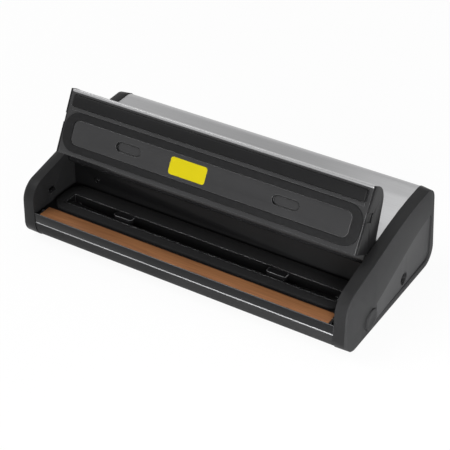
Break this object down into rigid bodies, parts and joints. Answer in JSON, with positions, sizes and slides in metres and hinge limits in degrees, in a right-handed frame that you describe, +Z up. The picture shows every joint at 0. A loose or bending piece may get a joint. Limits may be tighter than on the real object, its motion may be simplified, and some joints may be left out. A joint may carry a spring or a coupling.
{
  "type": "vacuum sealer",
  "caption": "Countertop vacuum sealer with a hinged lid open over the sealing strip and vacuum trough, side release buttons and an accessory hose port.",
  "frame": {"origin": "on the standing surface, below the middle of the body", "axes": "+X to the right of someone facing the front, -Y to the front, +Z up; the lid stands open"},
  "size_m": [0.3812, 0.19, 0.1496],
  "materials": {
    "black_shell": "fine moulded texture",
    "black_gloss": "satin gloss",
    "side_cover": "satin",
    "steel": "brushed along the body",
    "foam": "closed-cell foam",
    "silicone_black": "smooth",
    "tape": "coated glass cloth",
    "feet": "matte",
    "lens": "clear",
    "circuit": "board",
    "metal": "plain steel",
    "hose": "translucent"
  },
  "bodies": {
    "housing": {"base_tray": "black_shell", "front_fascia": "black_shell", "front_trim": "black_gloss", "chamber_deck": "black_shell", "drip_tray": "black_gloss", "bag_stops": "black_gloss", "lower_gasket": "foam", "heater_bar": "black_shell", "heating_ribbon": "metal", "release_tape": "tape", "left_cheek": "black_shell", "right_cheek": "black_shell", "left_side_cover": "side_cover", "right_side_cover": "side_cover", "top_panel": "steel", "rear_cover": "black_shell", "control_strip": "black_gloss", "indicator_lenses": "lens", "control_board": "circuit", "hose_port": "black_shell", "mains_inlet": "black_shell", "inlet_pins": "metal", "rubber_feet": "feet", "base_screws": "metal", "catch_pins": "metal", "lid_sensor": "black_gloss", "pump_housing": "black_shell", "pump_motor": "metal", "pump_bracket": "metal", "vacuum_hose": "hose", "port_hose": "hose", "air_valve": "black_shell", "transformer": "metal", "power_board": "circuit"},
    "lid": {"lid_skin": "steel", "lid_liner": "black_gloss", "left_lid_cap": "black_gloss", "right_lid_cap": "black_gloss", "lid_gasket": "foam", "pressure_bar": "silicone_black", "hinge_pins": "metal"},
    "left_button": {"left_release_button": "side_cover"},
    "right_button": {"right_release_button": "side_cover"},
    "left_catch": {"left_catch": "black_gloss"},
    "right_catch": {"right_catch": "black_gloss"},
    "key_1": {"key_1": "black_shell"},
    "key_2": {"key_2": "black_shell"},
    "key_3": {"key_3": "black_shell"},
    "key_4": {"key_4": "black_shell"},
    "crank": {"pump_crank": "metal"}
  },
  "joints": [
    {"name": "lid_hinge", "type": "hinge", "parent": "housing", "child": "lid", "pos_m": [0, -0.0252, 0.07287], "axis": [1, 0, 0], "range_deg": [0, 118.9]},
    {"name": "left_release", "type": "slide", "parent": "housing", "child": "left_button", "axis": [1, 0, 0], "range_m": [0, 0.0022], "stiffness_N_per_m": 600},
    {"name": "right_release", "type": "slide", "parent": "housing", "child": "right_button", "axis": [-1, 0, 0], "range_m": [0, 0.0022], "stiffness_N_per_m": 600},
    {"name": "left_catch_pivot", "type": "hinge", "parent": "housing", "child": "left_catch", "pos_m": [-0.1826, -0.059, 0.032], "axis": [0, -1, 0], "range_deg": [0, 8]},
    {"name": "right_catch_pivot", "type": "hinge", "parent": "housing", "child": "right_catch", "pos_m": [0.1826, -0.059, 0.032], "axis": [0, 1, 0], "range_deg": [0, 8]},
    {"name": "key_1_press", "type": "slide", "parent": "housing", "child": "key_1", "axis": [0, 0.2538, -0.9673], "range_m": [0, 0.0008], "stiffness_N_per_m": 300},
    {"name": "key_2_press", "type": "slide", "parent": "housing", "child": "key_2", "axis": [0, 0.2538, -0.9673], "range_m": [0, 0.0008], "stiffness_N_per_m": 300},
    {"name": "key_3_press", "type": "slide", "parent": "housing", "child": "key_3", "axis": [0, 0.2538, -0.9673], "range_m": [0, 0.0008], "stiffness_N_per_m": 300},
    {"name": "key_4_press", "type": "slide", "parent": "housing", "child": "key_4", "axis": [0, 0.2538, -0.9673], "range_m": [0, 0.0008], "stiffness_N_per_m": 300},
    {"name": "crank_spin", "type": "hinge", "parent": "housing", "child": "crank", "pos_m": [0.07, 0.034, 0.028], "axis": [1, 0, 0], "continuous": true}
  ],
  "couplings": [
    {"joint": "left_catch_pivot", "follows": "left_release", "rad_per_m": 62.5},
    {"joint": "right_catch_pivot", "follows": "right_release", "rad_per_m": 62.5}
  ]
}
